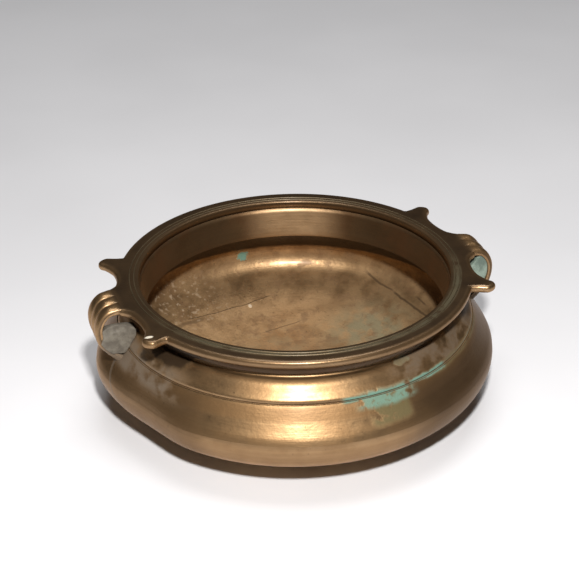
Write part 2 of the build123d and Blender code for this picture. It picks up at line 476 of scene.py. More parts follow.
@dataclass(frozen=True)
class BodyBronze(BronzeFinish):
    """Bronze of the belly and shoulder, with the growth along their seam, the used inside, and painted shade and
    shadow.
    """

    seam_z: float = 31.9

    def stains(self) -> list[Stain]:
        """All the growth and wear, with painted shade and shadow among them, the widest first."""
        umber = (0.085, 0.050, 0.025, 1)
        # the duller band under the seam and the black below the front horns are painted shade and shadow, not the
        # metal's own colour
        outside = [Stain(self.brown, 0.5, 0.2, self.dull_and_shaded_band), Stain(umber, 0.45, 0.2, self.brown_side),
                   Stain(self.grey, 0.62, 0.5, self.shoulder_haze),
                   Stain(self.grey, 0.6, 0.7, self.smear),
                   Stain(self.dark, 0.6, 0.3, self.seam_line_and_horn_shadow), Stain(self.olive, 0.6, 0.75, self.olive_growth),
                   Stain(self.verdigris, 0.8, 1.0, self.teal_growth), Stain(self.grey, 0.5, 0.5, self.crack)]
        if self.part is not Part.BELLY:
            return outside
        tan = (0.47, 0.30, 0.150, 1)
        haze = (0.21, 0.19, 0.115, 1)
        pale = (0.60, 0.48, 0.34, 1)
        # the dark on the side walls under the lip and the black in the hollow behind it are painted shadow of the lip
        inside = [Stain(tan, 0.42, 0.30, self.used_inside), Stain(haze, 0.6, 0.5, self.green_haze),
                  Stain((0.17, 0.098, 0.05, 1), 0.6, 0.4, self.burns_and_lip_shadow),
                  Stain(self.dark, 0.6, 0.3, self.marks),
                  Stain((0.02, 0.012, 0.006, 1), 0.7, 0.6, self.lip_hollow_shadow),
                  Stain(pale, 0.6, 0.6, self.fresh_chips), Stain(self.verdigris, 0.8, 1.0, self.green_spot)]
        return outside + inside

    def seam_height(self, s: Surface) -> Sig:
        """Height over the seam, made to wander a little."""
        return s.z - self.seam_z + (s.noise(7, 3, seed=6.1) - 0.5) * 1.6

    def outside(self, s: Surface) -> Sig:
        """1 on the outside of the bowl."""
        return 1 - s.attribute("inside")

    def teal_growth(self, s: Surface) -> Sig:
        """Verdigris along the seam at the front right, and a small patch under the rim."""
        height = self.seam_height(s)
        ragged = s.noise(2.6, 5, seed=5.5)
        line = abs(height - 0.2).ramp(1.1, 0.35) * s.around(-75.5, 17.5, 2.5) * ragged.ramp(0.34, 0.48)
        wide = abs(height + 0.9).ramp(3.0, 1.4) * s.around(-80.5, 6.5, 5.0) * ragged.ramp(0.34, 0.52) * 0.85
        patch = s.spot((17.5, -53.0, 37.6), (3.0, 3.0, 0.9), ragged, 1.0) * 0.3
        return line.higher_of(wide).higher_of(patch) * self.outside(s)

    def olive_growth(self, s: Surface) -> Sig:
        """Olive growth below the verdigris and on along the seam to the right."""
        height = self.seam_height(s)
        ragged = s.noise(3.4, 5, seed=8.5)
        patch = abs(height + 4.0).ramp(4.8, 2.8) * s.around(-80.5, 5.0, 2.6) * ragged.ramp(0.30, 0.48) * 0.9
        line = abs(height - 0.1).ramp(1.5, 0.5) * s.around(-42.0, 17.0, 5.0) * ragged.ramp(0.30, 0.50) * 0.75
        return patch.higher_of(line) * self.outside(s)

    def dull_and_shaded_band(self, s: Surface) -> Sig:
        """Duller, darker ring on the belly just under the seam, and another low down; the darkening is painted shade
        where the belly's curve turns away from the light.
        """
        wander = (s.noise(12, 3, seed=10.5) - 0.5) * 2.0
        top = abs(s.z - 29.4 + wander * 0.5).ramp(2.9, 1.2) * 0.85
        low = abs(s.z - 16.5 + wander).ramp(3.5, 1.5) * 0.45
        return top.higher_of(low) * self.outside(s)

    def brown_side(self, s: Surface) -> Sig:
        """Heavier brown patina on the right, and more lightly on the left."""
        ragged = (s.noise(16, 4, seed=11.5) - 0.5) * 0.5
        right = (s.around(-26.0, 32.0, 32.0) + ragged).ramp(0.0, 0.9) * 0.92
        left = (s.around(-158.0, 14.0, 20.0) + ragged).ramp(0.1, 1.0) * 0.50
        lower = s.z.ramp(10.0, 17.0) * 0.35 + 0.65
        return right.higher_of(left) * lower * s.z.ramp(33.5, 28.5) * self.outside(s)

    def shoulder_haze(self, s: Surface) -> Sig:
        """Pale dusty patches on the shoulder, right of the growth."""
        ragged = s.noise(5.0, 5, seed=12.5)
        return (s.z.ramp(self.seam_z - 0.5, self.seam_z + 1.2) * s.around(-50.0, 20.0, 12.0)
                * ragged.ramp(0.40, 0.62) * 0.7 * self.outside(s))

    def smear(self, s: Surface) -> Sig:
        """Grey smear of the left filling, drawn out over shoulder and belly."""
        ragged = s.noise(6, 4, seed=2.8)
        band = abs(s.z - 31.0 - (s.bearing.ramp(-150, -175) * 1.0)).ramp(6.0, 2.5)
        wash = band * s.around(-164, 12, 14) * ragged.ramp(0.36, 0.56) * 0.8
        close = abs(s.z - 31.0).ramp(5.5, 3.0) * s.around(-173.0, 4.0, 4.0) * 0.85
        return wash.higher_of(close) * self.outside(s)

    def seam_line_and_horn_shadow(self, s: Surface) -> Sig:
        """Darker line along the seam at the front, and painted shadow: black in the corners below the front horns,
        where they shade the shoulder.
        """
        line = abs(s.z - self.seam_z - 0.5).ramp(0.9, 0.1) * 0.30 * s.around(-75.0, 30.0, 25.0)
        # left and right: painted shadow under the front horns
        left = s.spot((-51.0, -25.4, 38.5), (9.5, 9.5, 4.4), s.noise(4, 3, seed=41.0), 0.35)
        right = s.spot((52.8, -22.0, 37.0), (7.0, 12.0, 4.0), s.noise(4, 3, seed=42.0), 0.35) * 0.9
        return line.higher_of(left).higher_of(right) * self.outside(s)

    def crack(self, s: Surface) -> Sig:
        """Pale upright parting line beside the left handle."""
        bend = s.z.ramp(15.0, 28.0) * -6.5 + (s.noise(4, 2, seed=1.1) - 0.5) * 1.6
        away = s.node("ShaderNodeMath", {"operation": "WRAP"},
                      {0: s.bearing + 169.3 - bend, 1: 180.0, 2: -180.0})
        return abs(away).ramp(0.75, 0.25) * abs(s.z - 21.5).ramp(8.0, 5.5) * 0.7 * self.outside(s)

    def used_inside(self, s: Surface) -> Sig:
        """Dull tan metal where ash has lain."""
        return s.attribute("inside") * (0.35 + s.noise(7, 6, seed=14.0).ramp(0.36, 0.62) * 0.55)

    def green_haze(self, s: Surface) -> Sig:
        """Thin greenish bloom on the floor."""
        ragged = s.noise(5, 5, seed=15.5)
        bloom = s.swell((36.0, 20.0, 4.5), (28.0, 24.0, 14.0)) * ragged.ramp(0.30, 0.58) * 1.3
        faint = s.swell((4.0, 20.0, 3.0), (34.0, 26.0, 10.0)) * ragged.ramp(0.45, 0.65) * 0.5
        return bloom.higher_of(faint).lower_of(1.0) * s.attribute("inside") * 0.85

    def burns_and_lip_shadow(self, s: Surface) -> Sig:
        """Brown burnt patches, darker brown over the front of the floor, and painted shadow of the lip on the side
        walls.
        """
        ragged = s.noise(4.5, 5, seed=16.5)
        burnt = ragged.ramp(0.50, 0.66) * 0.6
        near = s.swell((-8.0, -16.0, 4.0), (62.0, 54.0, 14.0)) * (0.9 + ragged * 1.6)
        sides = 1 - s.around(72.0, 38.0, 26.0)
        # edge: painted shadow that the lip casts on the side walls, kept off the lit back
        edge = s.z.ramp(11.5, 16.5) * (sides * 0.95 + s.noise(3, 4, seed=17.0).ramp(0.35, 0.6) * 0.4)
        return burnt.higher_of(near).higher_of(edge).lower_of(0.9) * s.attribute("inside")

    def lip_hollow_shadow(self, s: Surface) -> Sig:
        """Painted shadow: black in the hollow behind the lip, reaching lower at the sides."""
        ragged = (s.noise(4, 4, seed=17.5) - 0.5) * 1.6
        drop = (1 - s.around(72.0, 40.0, 30.0)) * 3.0
        return (s.z + ragged + drop).ramp(21.4, 23.2) * 0.93 * s.attribute("inside")

    def marks(self, s: Surface) -> Sig:
        """Scratches, casting creases and pits inside."""
        long_scratch = s.scratch((-30.0, 43.4), (8.0, 51.5), 0.28, 3.0) * 0.8
        low_scratch = s.scratch((-3.0, 33.0), (15.0, 36.0), 0.40, 2.0) * 0.6
        smudge = s.scratch((-37.0, 38.0), (-20.0, 45.0), 1.2, 3.0) * 0.5
        crease = s.scratch((43.5, 46.9), (50.3, 31.5), 0.55, 2.4) * 0.75
        crease = crease.higher_of(s.scratch((49.5, 33.5), (56.5, 9.5), 0.65, 2.4) * 0.8)
        crease = crease.higher_of(s.scratch((55.6, 25.5), (57.6, 16.5), 0.5, 1.0) * 0.7)
        pits = (s.noise(0.9, 2, seed=18.0).ramp(0.68, 0.74)
                * s.swell((22.0, 57.0, 12.0), (26.0, 14.0, 9.0)) * 1.4)
        grime = s.noise(0.9, 4, seed=19.0).ramp(0.58, 0.72) * 0.5
        found = long_scratch.higher_of(low_scratch).higher_of(smudge).higher_of(crease).higher_of(grime)
        return found.higher_of(pits.lower_of(0.85)) * s.attribute("inside")

    def fresh_chips(self, s: Surface) -> Sig:
        """Two small bright nicks and pale scuffs on the back left."""
        nick = s.spot((-2.1, 48.2, 6.5), (0.75, 0.9, 1.5), s.noise(2, 2, seed=3.0), 0.2)
        chip = s.scratch((-30.9, 54.4), (-29.7, 52.0), 0.28)
        scuffs = (s.noise(1.6, 5, seed=21.0).ramp(0.54, 0.64)
                  * s.swell((-28.0, 50.0, 12.0), (30.0, 20.0, 14.0)) * 0.6)
        return nick.higher_of(chip).higher_of(scuffs) * s.attribute("inside")

    def green_spot(self, s: Surface) -> Sig:
        """Small verdigris spot high on the back wall."""
        return (s.spot((0.3, 65.4, 19.0), (2.2, 2.0, 2.0), s.noise(1.3, 4, seed=22.0), 0.9)
                * s.attribute("inside"))


@dataclass(frozen=True)
class CollarBronze(BronzeFinish):
    """Bronze of the collar: brown inside the mouth, darker at its lip, with painted shade and a painted highlight."""

    def stains(self) -> list[Stain]:
        """Painted shade on the side walls, a painted highlight at the back, red-brown clouds, darker metal at the lip
        and painted shadow below the rim.
        """
        red = (0.115, 0.052, 0.022, 1)
        umber = (0.080, 0.048, 0.024, 1)

        def painted_side_shade(s: Surface) -> Sig:
            """Painted shade: darker everywhere but the back, which catches the light."""
            return (1 - s.around(72.0, 6.0, 26.0)) * 0.86

        def painted_back_highlight(s: Surface) -> Sig:
            """Painted highlight: brighter metal inside the mouth at the back."""
            return s.around(72.0, 7.0, 17.0) * (s.noise(5, 4, seed=33.0) * 0.5 + 0.5) * s.attribute("inside")

        def clouds(s: Surface) -> Sig:
            """Broad mottling."""
            return s.noise(11, 4, seed=31.0).ramp(0.45, 0.62) * 0.5

        def lip(s: Surface) -> Sig:
            """The lowest edge."""
            return s.z.ramp(34.4, 33.2) * 0.6

        def painted_shadow_under_rim(s: Surface) -> Sig:
            """Painted shadow: the corner below the rim, blackest by the front horns."""
            corners = s.around(-153.0, 9.0, 6.0).higher_of(s.around(-22.0, 12.0, 8.0)) * 0.95
            return (1 - s.attribute("inside")) * (s.z.ramp(41.0, 44.0) * 0.15).higher_of(corners)

        # the side-wall darkening, the back's brightening and the dark below the rim are painted shade, highlight and
        # shadow
        return [Stain(umber, 0.48, 0.2, painted_side_shade), Stain(red, 0.45, 0.2, clouds),
                Stain((0.60, 0.40, 0.22, 1), 0.55, 0.0, painted_back_highlight),
                Stain(self.dark, 0.6, 0.4, lip), Stain(self.dark, 0.6, 0.4, painted_shadow_under_rim)]


@dataclass(frozen=True)
class RimBronze(BronzeFinish):
    """Bronze of the rim: dark where it lies flat, rubbed bright where it turns."""

    def stains(self) -> list[Stain]:
        """Dark skin on the flat, green dirt by the rings at the front, and a painted highlight on the front left
        horn.
        """
        def skin(s: Surface) -> Sig:
            """Flat metal that hands do not rub."""
            return (1 - s.attribute("wear")) * (0.92 + (s.noise(9, 4, seed=3.3) - 0.5) * 0.35).lower_of(1.0)

        def painted_glint(s: Surface) -> Sig:
            """Painted highlight: a pale glint on the front left horn."""
            return s.spot((-57.2, -27.6, 46.8), (1.5, 0.7, 1.0), s.noise(2, 2, seed=34.0), 0.1)

        def dirt(s: Surface) -> Sig:
            """Green dirt between the rings."""
            ring = abs(s.radius - 55.0).ramp(1.7, 0.9)
            return ring * s.around(-84.0, 55.0, 30.0) * s.noise(4, 4, seed=3.9).ramp(0.3, 0.55) * 0.55

        # the pale spot on the front left horn is a painted highlight
        return [Stain(self.dark, 0.34, 0.25, skin), Stain((0.11, 0.11, 0.07, 1), 0.6, 0.6, dirt),
                Stain((0.75, 0.68, 0.55, 1), 0.5, 0.6, painted_glint)]


@dataclass(frozen=True)
class LoopBronze(BronzeFinish):
    """Bronze of a loop: rubbed tan crests between dirty valleys."""

    side: Side = Side.RIGHT

    def stains(self) -> list[Stain]:
        """Dirt in the valleys, the dark skin of the rim, and grey or black at the foot."""
        def skin(s: Surface) -> Sig:
            """The rim's dark skin, run out over the loop."""
            return s.radius.ramp(64.2, 61.6) * 0.85

        def valley(s: Surface) -> Sig:
            """Between the ribs."""
            return (1 - s.attribute("wear")) * 0.9

        def foot(s: Surface) -> Sig:
            """The lower end, on the bowl."""
            return s.z.ramp(35.0, 31.5) * (0.5 + s.noise(2.4, 4, seed=40.0) * 0.6)

        found = [Stain(self.dark, 0.38, 0.25, skin), Stain(self.dark, 0.6, 0.4, valley)]
        found.append(Stain(self.grey if self.side is Side.LEFT else self.dark, 0.6, 0.7, foot))
        return found


@dataclass(frozen=True)
class FillingFinish:
    """Dull mineral filling in a handle's eye."""

    name: str
    light: Colour
    deep: Colour
    streaked: bool

    def build(self) -> bpy.types.Material:
        """Make the material."""
        s = Surface(self.name)
        if self.streaked:
            drawn = s.node("ShaderNodeCombineXYZ", inputs={0: s.x * 0.3, 1: s.y, 2: s.z * 0.25})
            cloud = s.noise(1.1, 4, vector=drawn, seed=3.0)
        else:
            cloud = s.noise(2.8, 5, seed=3.0)
        grit = s.noise(0.35, 3, seed=6.0)
        flecks = s.noise(0.9, 2, seed=8.0).ramp(0.70, 0.76)
        colour = s.mix(cloud.ramp(0.35, 0.65), self.deep, self.light)
        colour = s.mix(flecks * 0.5, colour, (0.40, 0.36, 0.29, 1))
        relief = s.bump(grit, 0.10)
        relief = s.bump(cloud, 0.35, relief)
        return s.finish(Base_Color=colour, Roughness=0.72 + (grit - 0.5) * 0.3, Normal=relief)


@dataclass(frozen=True)
class TableFinish:
    """Smooth pale table top."""

    colour: Colour = (0.80, 0.80, 0.82, 1)

    def build(self) -> bpy.types.Material:
        """Make the material."""
        s = Surface("pale_table")
        cloud = s.noise(160, 3, seed=1.0)
        grain = s.noise(1.2, 3, seed=2.0)
        shade = tuple(0.94 * c for c in self.colour[:3]) + (1,)
        return s.finish(Base_Color=s.mix(cloud.ramp(0.3, 0.7), self.colour, shade),
                        Roughness=0.5 + (grain - 0.5) * 0.1, Normal=s.bump(grain, 0.01))


# ---------------------------------------------------------------- meshes

def add_object(name: str, mesh: bpy.types.Mesh) -> bpy.types.Object:
    """Put a mesh in the scene as an object at the origin."""
    piece = bpy.data.objects.new(name, mesh)
    bpy.context.scene.collection.objects.link(piece)
    return piece


def closed_mesh(name: str, points: Sequence[Sequence[float]],
                faces: Sequence[Sequence[int]]) -> bpy.types.Mesh:
    """Mesh of millimetre points with its doubles merged and its faces outward.

    Args:
        name: The mesh's name.
        points: Corners in millimetres.
        faces: Corner numbers of each face.

    Returns:
        The mesh, in metres and smooth shaded.
    """
    mesh = bpy.data.meshes.new(name)
    mesh.from_pydata([Vector(point) * MM for point in points], [], faces)
    work = bmesh.new()
    work.from_mesh(mesh)
    bmesh.ops.remove_doubles(work, verts=work.verts, dist=1e-6)
    bmesh.ops.recalc_face_normals(work, faces=work.faces)
    if work.calc_volume(signed=True) < 0:
        bmesh.ops.reverse_faces(work, faces=work.faces)
    work.to_mesh(mesh)
    work.free()
    mesh.shade_smooth()
    return mesh


def ring_faces(rings: int, count: int, wrap: bool) -> list[tuple[int, int, int, int]]:
    """Quads between successive rings of points.

    Args:
        rings: Number of rings.
        count: Points in each ring, which is closed on itself.
        wrap: Whether the last ring joins the first.

    Returns:
        Corner numbers.
    """
    last = rings if wrap else rings - 1
    return [(a * count + b, (a + 1) % rings * count + b,
             (a + 1) % rings * count + (b + 1) % count, a * count + (b + 1) % count)
            for a in range(last) for b in range(count)]


class GeometryTree(Graph):
    """A Geometry Nodes tree with named inputs, made for one kind of piece."""

    def __init__(self, name: str) -> None:
        """Make the tree with a geometry input and output."""
        super().__init__(bpy.data.node_groups.new(name, "GeometryNodeTree"))
        self.tree.interface.new_socket("Geometry", in_out="INPUT", socket_type="NodeSocketGeometry")
        self.tree.interface.new_socket("Geometry", in_out="OUTPUT", socket_type="NodeSocketGeometry")
        self.sockets: dict[str, str] = {}
        self.group: bpy.types.Node | None = None

    def inputs(self, **kinds: str) -> dict[str, Sig]:
        """Args:
            **kinds: Socket type by input name, with _ for a space.

        Returns:
            The inputs' sockets by the same names, and the geometry under geometry.
        """
        for name, kind in kinds.items():
            made = self.tree.interface.new_socket(name.replace("_", " "), in_out="INPUT", socket_type=kind)
            self.sockets[name] = made.identifier
        self.group = self.tree.nodes.new("NodeGroupInput")
        found = {name: Sig(self, self.group.outputs[name.replace("_", " ")]) for name in kinds}
        return {"geometry": Sig(self, self.group.outputs["Geometry"]), **found}

    def close(self, geometry: Sig, material: Sig) -> None:
        """End the tree in Realize Instances and Set Material."""
        real = self.node("GeometryNodeRealizeInstances", inputs={0: geometry})
        dressed = self.node("GeometryNodeSetMaterial", inputs={"Geometry": real, "Material": material})
        self.node("NodeGroupOutput", inputs={0: dressed})

    def bake(self, name: str, seed_mesh: bpy.types.Mesh, **values: object) -> bpy.types.Object:
        """Run the tree on a mesh and keep the result as a plain mesh.

        Args:
            name: The piece's name.
            seed_mesh: What the tree's geometry input gets.
            **values: The named inputs' values.

        Returns:
            The finished object, with no modifier.
        """
        piece = add_object(name, seed_mesh)
        modifier = piece.modifiers.new("build", "NODES")
        modifier.node_group = self.tree
        for key, value in values.items():
            modifier[self.sockets[key]] = value
        graph = bpy.context.evaluated_depsgraph_get()
        result = bpy.data.meshes.new_from_object(piece.evaluated_get(graph))
        piece.modifiers.remove(modifier)
        piece.data = result
        result.name = name
        result.shade_smooth()
        return piece


def turned_tree() -> GeometryTree:
    """Tree that turns a section about the bowl's axis and gives it a cast unevenness."""
    tree = GeometryTree("turned_casting")
    ins = tree.inputs(Turns="NodeSocketInt", Spine_Radius="NodeSocketFloat", Uneven="NodeSocketFloat",
                      Seed="NodeSocketFloat", Dent="NodeSocketFloat", Dent_Bearing="NodeSocketFloat",
                      Bulge="NodeSocketFloat", Bulge_Bearing="NodeSocketFloat", Material="NodeSocketMaterial")
    section = tree.node("GeometryNodeMeshToCurve", inputs={"Mesh": ins["geometry"]})
    spine = tree.node("GeometryNodeCurvePrimitiveCircle",
                      inputs={"Resolution": ins["Turns"], "Radius": ins["Spine_Radius"]})
    body = tree.node("GeometryNodeCurveToMesh", inputs={"Curve": spine, "Profile Curve": section})
    body = tree.node("GeometryNodeMergeByDistance", inputs={"Geometry": body, "Distance": 0.01 * MM})
    place = tree.node("GeometryNodeInputPosition")
    swell = tree.node("ShaderNodeTexNoise", {"noise_dimensions": "4D"},
                      {"Vector": place, "W": ins["Seed"], "Scale": 28.0, "Detail": 2.0}, "Fac")
    level = tree.node("ShaderNodeCombineXYZ", inputs={0: 1.0, 1: 1.0, 2: 0.0})
    outward = tree.node("ShaderNodeVectorMath", {"operation": "NORMALIZE"},
                        {0: tree.node("ShaderNodeVectorMath", {"operation": "MULTIPLY"}, {0: place, 1: level})})
    split = tree.node("ShaderNodeSeparateXYZ", inputs={0: place}).socket.node
    x, y, z = (Sig(tree, split.outputs[axis]) for axis in range(3))
    bearing = tree.node("ShaderNodeMath", {"operation": "ARCTAN2"}, {0: y, 1: x}) * (180 / math.pi)

    def near(centre: Sig, reach: float) -> Sig:
        """1 at a bearing, falling to 0 at its reach."""
        away = tree.node("ShaderNodeMath", {"operation": "WRAP"}, {0: bearing - centre, 1: 180.0, 2: -180.0})
        return abs(away).ramp(reach, 0.0)

    level = abs(z - 17.5 * MM).ramp(12.5 * MM, 3.0 * MM)
    worked = near(ins["Bulge_Bearing"], 15.0) * ins["Bulge"] - near(ins["Dent_Bearing"], 17.0) * ins["Dent"]
    shift = tree.node("ShaderNodeVectorMath", {"operation": "SCALE"},
                      {0: outward, "Scale": worked * level - swell * ins["Uneven"]})
    body = tree.node("GeometryNodeSetPosition", inputs={"Geometry": body, "Offset": shift})
    tree.close(body, ins["Material"])
    return tree


def ring_tree() -> GeometryTree:
    """Tree that lays a raised ring round the axis for each point given at the ring's radius."""
    tree = GeometryTree("raised_rings")
    ins = tree.inputs(Turns="NodeSocketInt", Wire="NodeSocketFloat", Height="NodeSocketFloat",
                      Material="NodeSocketMaterial")
    place = tree.node("GeometryNodeInputPosition")
    size = tree.node("ShaderNodeVectorMath", {"operation": "LENGTH"}, {0: place}, "Value")
    points = tree.node("GeometryNodeStoreNamedAttribute", {"data_type": "FLOAT", "domain": "POINT"},
                       {"Geometry": ins["geometry"], "Name": "ring_radius", "Value": size})
    centre = tree.node("ShaderNodeCombineXYZ", inputs={0: 0.0, 1: 0.0, 2: ins["Height"]})
    points = tree.node("GeometryNodeSetPosition", inputs={"Geometry": points, "Position": centre})
    radius = tree.node("GeometryNodeInputNamedAttribute", {"data_type": "FLOAT"}, {"Name": "ring_radius"})
    unit = tree.node("GeometryNodeCurvePrimitiveCircle", inputs={"Resolution": ins["Turns"], "Radius": 1.0})
    scale = tree.node("ShaderNodeCombineXYZ", inputs={0: radius, 1: radius, 2: radius})
    rings = tree.node("GeometryNodeInstanceOnPoints",
                      inputs={"Points": points, "Instance": unit, "Scale": scale})
    rings = tree.node("GeometryNodeRealizeInstances", inputs={0: rings})
    wire = tree.node("GeometryNodeCurvePrimitiveCircle", inputs={"Resolution": 10, "Radius": ins["Wire"]})
    body = tree.node("GeometryNodeCurveToMesh", inputs={"Curve": rings, "Profile Curve": wire})
    tree.close(body, ins["Material"])
    return tree


# ---------------------------------------------------------------- the bowl

@dataclass
class Bowl:
    """The turned castings: belly, shoulder and collar, sections in millimetres."""

    sizes: FrameSizes
    wall: float = 2.6
    belly_z: float = 19.2
    lower_rho: float = 10.2
    lower_end: float = 65.0
    base_turn: float = 5.0
    floor_turn: float = 14.0
    seam_r: float = 60.9
    neck_foot_z: float = 38.2
    lip: Point = (51.0, 33.0)
    mouth_r: float = 52.6
    turns: int = 360
    spine_r: float = 60.0
    uneven: float = 0.35
    tree: GeometryTree = field(default_factory=turned_tree)

    def underside(self, inset: float, floor: float, softening: float) -> list[Point]:
        """Section from the axis along the flat and up the cone.

        Args:
            inset: How far inside the outer surface the line lies.
            floor: Height of the flat.
            softening: Reach of the rounding between flat and cone.

        Returns:
            The points, up to the start of the lower curve.
        """
        lean = math.radians(90 - self.lower_end)
        low = (self.sizes.belly_r - self.lower_rho, self.belly_z)
        top = on_arc(low, self.lower_rho - inset, -self.lower_end)
        corner = top[0] - (top[1] - floor) / math.tan(lean)
        rho = softening / math.tan(lean / 2)
        flat = corner - softening
        line = [(flat * step / 8, floor) for step in range(8)]
        line += arc((flat, floor + rho), rho, -90, -self.lower_end, 12)
        start = line[-1]
        line += [(start[0] + (top[0] - start[0]) * t, start[1] + (top[1] - start[1]) * t) for t in (0.25, 0.5, 0.75)]
        return line

    def belly_curve(self, inset: float) -> list[Point]:
        """Section of the belly, from its lower curve to the seam, inset from the outside."""
        reach, seam_z = self.sizes.belly_r, self.sizes.seam_z
        low = (reach - self.lower_rho, self.belly_z)
        curve = arc(low, self.lower_rho - inset, -self.lower_end, 0, 18)
        upper = through([(67.95, 21.2), (67.05, 23.0), (65.4, 25.4), (63.7, 27.9), (62.2, 30.1),
                         (self.seam_r, seam_z)], 8)
        ahead = upper[1:] + [(2 * upper[-1][0] - upper[-2][0], 2 * upper[-1][1] - upper[-2][1])]
        for here, after in zip(upper, ahead):
            along = (Vector(after) - Vector(here)).normalized()
            curve.append((here[0] - inset * along.y, here[1] + inset * along.x))
        return curve

    def belly_section(self) -> list[Point]:
        """Closed section of the dish, its edge at the seam rounded over."""
        outside = self.underside(0, 0, self.base_turn) + self.belly_curve(0)
        inside = self.underside(self.wall, self.wall, self.floor_turn) + self.belly_curve(self.wall)
        seam_r, seam_z = self.seam_r, self.sizes.seam_z
        edge = [(seam_r + 0.22, seam_z - 0.28), (seam_r + 0.0, seam_z - 0.08), (seam_r - 0.35, seam_z - 0.03),
                (seam_r - 0.9, seam_z - 0.35)]
        return outside[:-1] + edge + inside[::-1]

    def shoulder_section(self) -> list[Point]:
        """Closed section of the rolled ring between collar and seam."""
        seam_r, seam_z = self.seam_r, self.sizes.seam_z
        neck = self.sizes.collar_r
        foot = self.neck_foot_z
        outside = through([(neck, foot + 0.7), (neck + 0.5, foot - 0.1), (55.8, foot - 0.5), (57.2, foot - 1.5),
                           (58.9, foot - 3.6), (seam_r - 0.55, seam_z + 1.1), (seam_r - 0.3, seam_z + 0.12)], 8)
        inside = through([(seam_r - 1.6, seam_z - 1.2), (56.7, foot - 4.5), (neck, foot - 2.9)], 8)
        return outside + inside

    def collar_section(self) -> list[Point]:
        """Closed section of the collar, its lower lip rounded."""
        under = self.sizes.rim_under
        lip_r, lip_z = self.lip
        return [(self.sizes.collar_r, under), (self.sizes.collar_r, self.neck_foot_z),
                (self.sizes.collar_r, self.neck_foot_z - 2.9), (lip_r + 2.0, lip_z + 0.3),
                *arc((lip_r + 0.95, lip_z + 0.8), 0.8, -40, -180, 8),
                *[(lip_r + 0.15 + (self.mouth_r - lip_r - 0.15) * t, lip_z + 0.8 + (under - lip_z - 0.8) * t)
                  for t in (0.15, 0.3, 0.5, 0.7, 0.85, 1.0)]]

    def turn(self, name: str, section: Sequence[Point], finish: BronzeFinish) -> bpy.types.Object:
        """Turn a closed section into a shell.

        Args:
            name: The piece's name.
            section: Closed outline of radius and height, anticlockwise.
            finish: Its bronze.

        Returns:
            The shell.
        """
        mesh = bpy.data.meshes.new(name + "_section")
        points = [((radius - self.spine_r) * MM, -height * MM, 0) for radius, height in section]
        mesh.from_pydata(points, [(k, (k + 1) % len(points)) for k in range(len(points))], [])
        shell = self.tree.bake(name, mesh, Turns=self.turns, Spine_Radius=self.spine_r * MM,
                               Uneven=self.uneven * MM, Seed=2.0, Dent=1.7 * MM, Dent_Bearing=-155.0,
                               Bulge=1.2 * MM, Bulge_Bearing=177.0, Material=finish.build())
        face_outward(shell.data)
        mark_inside(shell.data)
        return shell

    def build(self) -> list[tuple[bpy.types.Object, str, str]]:
        """Make the three castings.

        Returns:
            Each piece with the node it stands for and its slot.
        """
        seam = self.sizes.seam_z
        return [
            (self.turn("belly", self.belly_section(), BodyBronze(Part.BELLY, seam_z=seam)),
             "belly_shell", "bronze_belly"),
            (self.turn("shoulder", self.shoulder_section(), BodyBronze(Part.SHOULDER, seam_z=seam)),
             "shoulder_shell", "bronze_shoulder"),
            (self.turn("collar", self.collar_section(), CollarBronze(Part.COLLAR, tarnish=0.8)),
             "neck_collar", "bronze_collar"),
        ]


def mark_inside(mesh: bpy.types.Mesh) -> None:
    """Keep on each point of a turned shell whether it faces the inside of the bowl."""
    values = []
    for vertex in mesh.vertices:
        level = Vector((vertex.co.x, vertex.co.y))
        facing = vertex.normal.z if level.length < 28 * MM else -level.normalized().dot(vertex.normal.xy)
        values.append(1.0 if facing > 0.02 else 0.0)
    layer = mesh.attributes.new("inside", "FLOAT", "POINT")
    layer.data.foreach_set("value", values)


def face_outward(mesh: bpy.types.Mesh) -> None:
    """Point a closed mesh's faces out of it."""
    work = bmesh.new()
    work.from_mesh(mesh)
    bmesh.ops.remove_doubles(work, verts=work.verts, dist=1e-6)
    bmesh.ops.recalc_face_normals(work, faces=work.faces)
    if work.calc_volume(signed=True) < 0:
        bmesh.ops.reverse_faces(work, faces=work.faces)
    work.to_mesh(mesh)
    work.free()
    mesh.shade_smooth()


# ---------------------------------------------------------------- the rim

